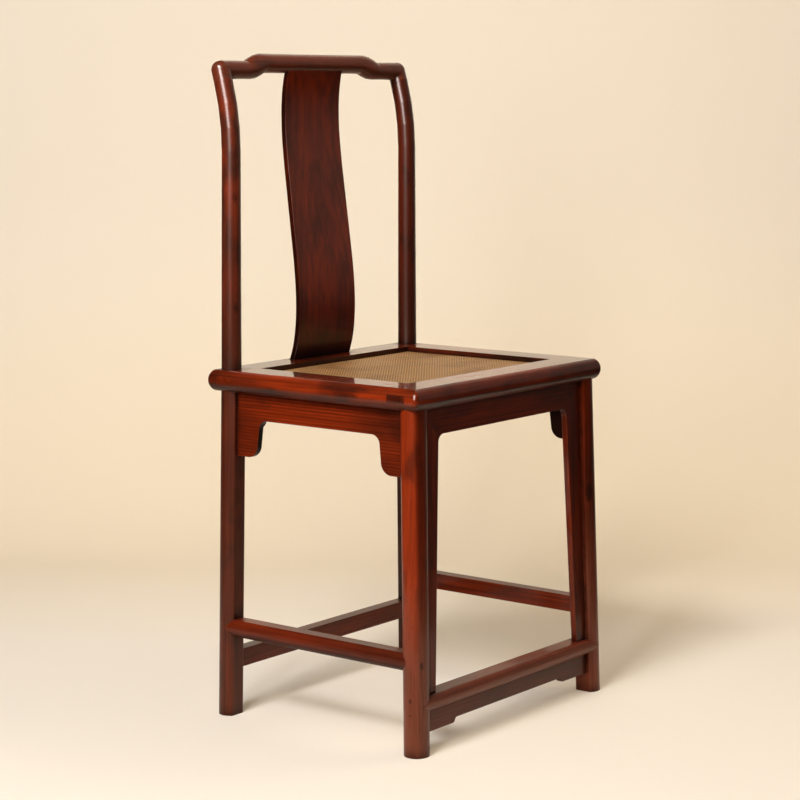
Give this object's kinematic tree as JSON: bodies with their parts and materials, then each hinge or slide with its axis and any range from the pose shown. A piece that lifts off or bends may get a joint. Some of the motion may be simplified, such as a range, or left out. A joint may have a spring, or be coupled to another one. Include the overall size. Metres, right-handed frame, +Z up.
{
  "type": "yoke-back side chair",
  "caption": "Armless hardwood side chair with a stepped yoke crest rail, S-curved splat, woven cane seat, spandrelled aprons and a low footrest between splayed legs.",
  "frame": {"origin": "on the floor under the middle of the chair's overall width and depth", "axes": "+Z up, the chair faces -Y, +X is the sitter's left"},
  "size_m": [0.4572, 0.3896, 0.9436],
  "materials": {
    "hardwood": "polished reddish-brown hardwood",
    "cane": "fine twill weave of split cane",
    "palm_fibre": "coarse webbing of palm-fibre cord",
    "peg_wood": "cut peg ends, unpolished"
  },
  "bodies": {
    "root": {"crest_rail": "hardwood", "back_splat": "hardwood", "seat_rail_front": "hardwood", "seat_rail_rear": "hardwood", "seat_rail_left": "hardwood", "seat_rail_right": "hardwood", "rear_leg_left": "hardwood", "rear_leg_right": "hardwood", "front_leg_left": "hardwood", "front_leg_right": "hardwood", "front_apron": "hardwood", "front_strip_left": "hardwood", "front_strip_right": "hardwood", "side_apron_left": "hardwood", "side_apron_right": "hardwood", "rear_apron": "hardwood", "footrest": "hardwood", "footrest_apron": "hardwood", "side_stretcher_left": "hardwood", "side_stretcher_right": "hardwood", "rear_stretcher": "hardwood", "seat_brace_left": "hardwood", "seat_brace_right": "hardwood", "cane_mat": "cane", "palm_webbing": "palm_fibre", "mat_pegs": "peg_wood"}
  },
  "joints": []
}
